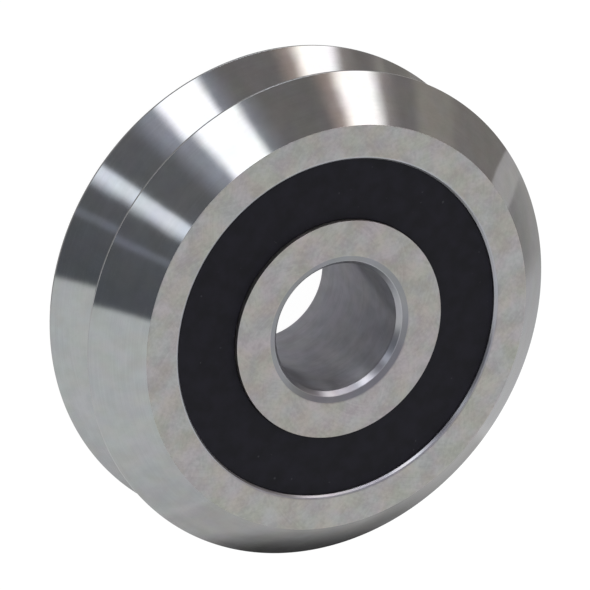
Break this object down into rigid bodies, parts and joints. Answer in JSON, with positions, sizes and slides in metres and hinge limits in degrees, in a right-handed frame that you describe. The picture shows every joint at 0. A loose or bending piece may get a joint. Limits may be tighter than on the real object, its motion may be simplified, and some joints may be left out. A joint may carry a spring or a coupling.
{
  "type": "v groove wheel",
  "caption": "Steel guide wheel with a vee groove round its rim and bevelled outer edges, on a sealed ball bearing with a plain through bore.",
  "frame": {"origin": "on the wheel's axis, midway between its two side faces", "axes": "+Z along the axis towards the front side; X and Y across the wheel, +X through the first ball of the front row"},
  "size_m": [0.0458, 0.0458, 0.0158],
  "materials": {
    "wheel_steel": "turned and ground steel, bright, with fine marks round the axis",
    "ring_steel": "ground bearing steel, satin",
    "seal_rubber": "moulded black nitrile rubber, matte",
    "insert_steel": "pressed sheet steel",
    "cage_polymer": "moulded polyamide",
    "ball_steel": "polished bearing steel"
  },
  "bodies": {
    "hub": {"inner_ring": "ring_steel"},
    "wheel": {"outer_ring": "wheel_steel", "front_seal": "seal_rubber", "rear_seal": "seal_rubber", "front_seal_insert": "insert_steel", "rear_seal_insert": "insert_steel"},
    "front_cage": {"front_cage": "cage_polymer"},
    "front_ball_1": {"front_ball_1": "ball_steel"},
    "front_ball_2": {"front_ball_2": "ball_steel"},
    "front_ball_3": {"front_ball_3": "ball_steel"},
    "front_ball_4": {"front_ball_4": "ball_steel"},
    "front_ball_5": {"front_ball_5": "ball_steel"},
    "front_ball_6": {"front_ball_6": "ball_steel"},
    "front_ball_7": {"front_ball_7": "ball_steel"},
    "front_ball_8": {"front_ball_8": "ball_steel"},
    "front_ball_9": {"front_ball_9": "ball_steel"},
    "front_ball_10": {"front_ball_10": "ball_steel"},
    "rear_cage": {"rear_cage": "cage_polymer"},
    "rear_ball_1": {"rear_ball_1": "ball_steel"},
    "rear_ball_2": {"rear_ball_2": "ball_steel"},
    "rear_ball_3": {"rear_ball_3": "ball_steel"},
    "rear_ball_4": {"rear_ball_4": "ball_steel"},
    "rear_ball_5": {"rear_ball_5": "ball_steel"},
    "rear_ball_6": {"rear_ball_6": "ball_steel"},
    "rear_ball_7": {"rear_ball_7": "ball_steel"},
    "rear_ball_8": {"rear_ball_8": "ball_steel"},
    "rear_ball_9": {"rear_ball_9": "ball_steel"},
    "rear_ball_10": {"rear_ball_10": "ball_steel"}
  },
  "joints": [
    {"name": "wheel_spin", "type": "hinge", "parent": "hub", "child": "wheel", "pos_m": [0, 0, 0], "axis": [0, 0, 1], "continuous": true},
    {"name": "front_cage_orbit", "type": "hinge", "parent": "hub", "child": "front_cage", "pos_m": [0, 0, 0], "axis": [0, 0, 1], "continuous": true},
    {"name": "front_ball_1_roll", "type": "hinge", "parent": "front_cage", "child": "front_ball_1", "pos_m": [0.01275, 0, 0.00305], "axis": [0.4226, 0, 0.9063], "continuous": true},
    {"name": "front_ball_2_roll", "type": "hinge", "parent": "front_cage", "child": "front_ball_2", "pos_m": [0.01031, 0.00749, 0.00305], "axis": [0.3419, 0.2484, 0.9063], "continuous": true},
    {"name": "front_ball_3_roll", "type": "hinge", "parent": "front_cage", "child": "front_ball_3", "pos_m": [0.00394, 0.01213, 0.00305], "axis": [0.1306, 0.4019, 0.9063], "continuous": true},
    {"name": "front_ball_4_roll", "type": "hinge", "parent": "front_cage", "child": "front_ball_4", "pos_m": [-0.00394, 0.01213, 0.00305], "axis": [-0.1306, 0.4019, 0.9063], "continuous": true},
    {"name": "front_ball_5_roll", "type": "hinge", "parent": "front_cage", "child": "front_ball_5", "pos_m": [-0.01031, 0.00749, 0.00305], "axis": [-0.3419, 0.2484, 0.9063], "continuous": true},
    {"name": "front_ball_6_roll", "type": "hinge", "parent": "front_cage", "child": "front_ball_6", "pos_m": [-0.01275, 0, 0.00305], "axis": [-0.4226, 0, 0.9063], "continuous": true},
    {"name": "front_ball_7_roll", "type": "hinge", "parent": "front_cage", "child": "front_ball_7", "pos_m": [-0.01031, -0.00749, 0.00305], "axis": [-0.3419, -0.2484, 0.9063], "continuous": true},
    {"name": "front_ball_8_roll", "type": "hinge", "parent": "front_cage", "child": "front_ball_8", "pos_m": [-0.00394, -0.01213, 0.00305], "axis": [-0.1306, -0.4019, 0.9063], "continuous": true},
    {"name": "front_ball_9_roll", "type": "hinge", "parent": "front_cage", "child": "front_ball_9", "pos_m": [0.00394, -0.01213, 0.00305], "axis": [0.1306, -0.4019, 0.9063], "continuous": true},
    {"name": "front_ball_10_roll", "type": "hinge", "parent": "front_cage", "child": "front_ball_10", "pos_m": [0.01031, -0.00749, 0.00305], "axis": [0.3419, -0.2484, 0.9063], "continuous": true},
    {"name": "rear_cage_orbit", "type": "hinge", "parent": "hub", "child": "rear_cage", "pos_m": [0, 0, 0], "axis": [0, 0, 1], "continuous": true},
    {"name": "rear_ball_1_roll", "type": "hinge", "parent": "rear_cage", "child": "rear_ball_1", "pos_m": [0.01213, 0.00394, -0.00305], "axis": [-0.4019, -0.1306, 0.9063], "continuous": true},
    {"name": "rear_ball_2_roll", "type": "hinge", "parent": "rear_cage", "child": "rear_ball_2", "pos_m": [0.00749, 0.01031, -0.00305], "axis": [-0.2484, -0.3419, 0.9063], "continuous": true},
    {"name": "rear_ball_3_roll", "type": "hinge", "parent": "rear_cage", "child": "rear_ball_3", "pos_m": [0, 0.01275, -0.00305], "axis": [0, -0.4226, 0.9063], "continuous": true},
    {"name": "rear_ball_4_roll", "type": "hinge", "parent": "rear_cage", "child": "rear_ball_4", "pos_m": [-0.00749, 0.01031, -0.00305], "axis": [0.2484, -0.3419, 0.9063], "continuous": true},
    {"name": "rear_ball_5_roll", "type": "hinge", "parent": "rear_cage", "child": "rear_ball_5", "pos_m": [-0.01213, 0.00394, -0.00305], "axis": [0.4019, -0.1306, 0.9063], "continuous": true},
    {"name": "rear_ball_6_roll", "type": "hinge", "parent": "rear_cage", "child": "rear_ball_6", "pos_m": [-0.01213, -0.00394, -0.00305], "axis": [0.4019, 0.1306, 0.9063], "continuous": true},
    {"name": "rear_ball_7_roll", "type": "hinge", "parent": "rear_cage", "child": "rear_ball_7", "pos_m": [-0.00749, -0.01031, -0.00305], "axis": [0.2484, 0.3419, 0.9063], "continuous": true},
    {"name": "rear_ball_8_roll", "type": "hinge", "parent": "rear_cage", "child": "rear_ball_8", "pos_m": [0, -0.01275, -0.00305], "axis": [0, 0.4226, 0.9063], "continuous": true},
    {"name": "rear_ball_9_roll", "type": "hinge", "parent": "rear_cage", "child": "rear_ball_9", "pos_m": [0.00749, -0.01031, -0.00305], "axis": [-0.2484, 0.3419, 0.9063], "continuous": true},
    {"name": "rear_ball_10_roll", "type": "hinge", "parent": "rear_cage", "child": "rear_ball_10", "pos_m": [0.01213, -0.00394, -0.00305], "axis": [-0.4019, 0.1306, 0.9063], "continuous": true}
  ],
  "couplings": [
    {"joint": "front_cage_orbit", "follows": "wheel_spin", "ratio": 0.59873},
    {"joint": "front_ball_1_roll", "follows": "wheel_spin", "ratio": 2.2053},
    {"joint": "front_ball_2_roll", "follows": "wheel_spin", "ratio": 2.2053},
    {"joint": "front_ball_3_roll", "follows": "wheel_spin", "ratio": 2.2053},
    {"joint": "front_ball_4_roll", "follows": "wheel_spin", "ratio": 2.2053},
    {"joint": "front_ball_5_roll", "follows": "wheel_spin", "ratio": 2.2053},
    {"joint": "front_ball_6_roll", "follows": "wheel_spin", "ratio": 2.2053},
    {"joint": "front_ball_7_roll", "follows": "wheel_spin", "ratio": 2.2053},
    {"joint": "front_ball_8_roll", "follows": "wheel_spin", "ratio": 2.2053},
    {"joint": "front_ball_9_roll", "follows": "wheel_spin", "ratio": 2.2053},
    {"joint": "front_ball_10_roll", "follows": "wheel_spin", "ratio": 2.2053},
    {"joint": "rear_cage_orbit", "follows": "wheel_spin", "ratio": 0.59873},
    {"joint": "rear_ball_1_roll", "follows": "wheel_spin", "ratio": 2.2053},
    {"joint": "rear_ball_2_roll", "follows": "wheel_spin", "ratio": 2.2053},
    {"joint": "rear_ball_3_roll", "follows": "wheel_spin", "ratio": 2.2053},
    {"joint": "rear_ball_4_roll", "follows": "wheel_spin", "ratio": 2.2053},
    {"joint": "rear_ball_5_roll", "follows": "wheel_spin", "ratio": 2.2053},
    {"joint": "rear_ball_6_roll", "follows": "wheel_spin", "ratio": 2.2053},
    {"joint": "rear_ball_7_roll", "follows": "wheel_spin", "ratio": 2.2053},
    {"joint": "rear_ball_8_roll", "follows": "wheel_spin", "ratio": 2.2053},
    {"joint": "rear_ball_9_roll", "follows": "wheel_spin", "ratio": 2.2053},
    {"joint": "rear_ball_10_roll", "follows": "wheel_spin", "ratio": 2.2053}
  ]
}
